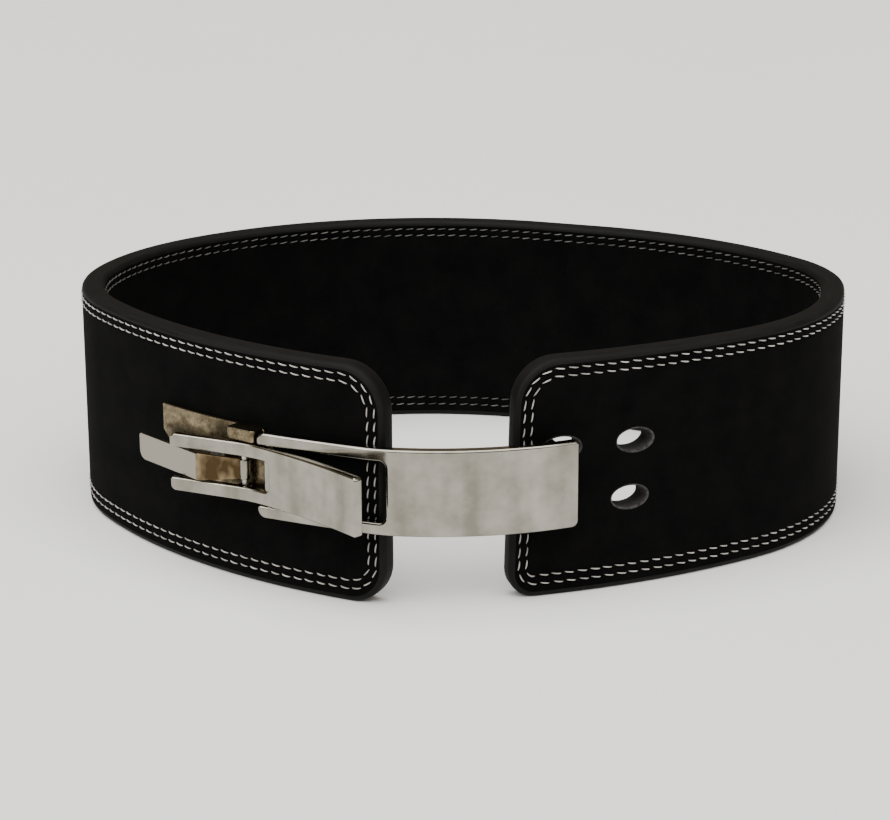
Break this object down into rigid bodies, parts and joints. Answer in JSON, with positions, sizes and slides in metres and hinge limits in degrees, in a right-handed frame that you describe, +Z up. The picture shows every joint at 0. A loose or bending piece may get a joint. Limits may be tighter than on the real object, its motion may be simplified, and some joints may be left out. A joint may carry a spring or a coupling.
{
  "type": "weightlifting belt",
  "caption": "Wide, thick leather band bent into an open oval hoop, its ends joined by a lever clasp with a curved hook plate.",
  "frame": {"origin": "middle of the belt's bounding box at the surface its lower edge stands on", "axes": "+Z up, -Y towards the clasp, +X to the wearer's left seen from the front of the clasp"},
  "size_m": [0.3416, 0.3104, 0.1],
  "materials": {
    "leather": "black suede with dressed edges and off-white double stitching",
    "nickel": "bright nickel plate",
    "steel": "plain satin steel"
  },
  "bodies": {
    "root": {"belt_strap": "leather", "hook_plate": "nickel", "lever": "nickel", "base_plate": "nickel", "tongue": "nickel", "hook_pin": "steel", "base_pin": "steel", "base_screw_1": "steel", "base_screw_2": "steel"}
  },
  "joints": []
}
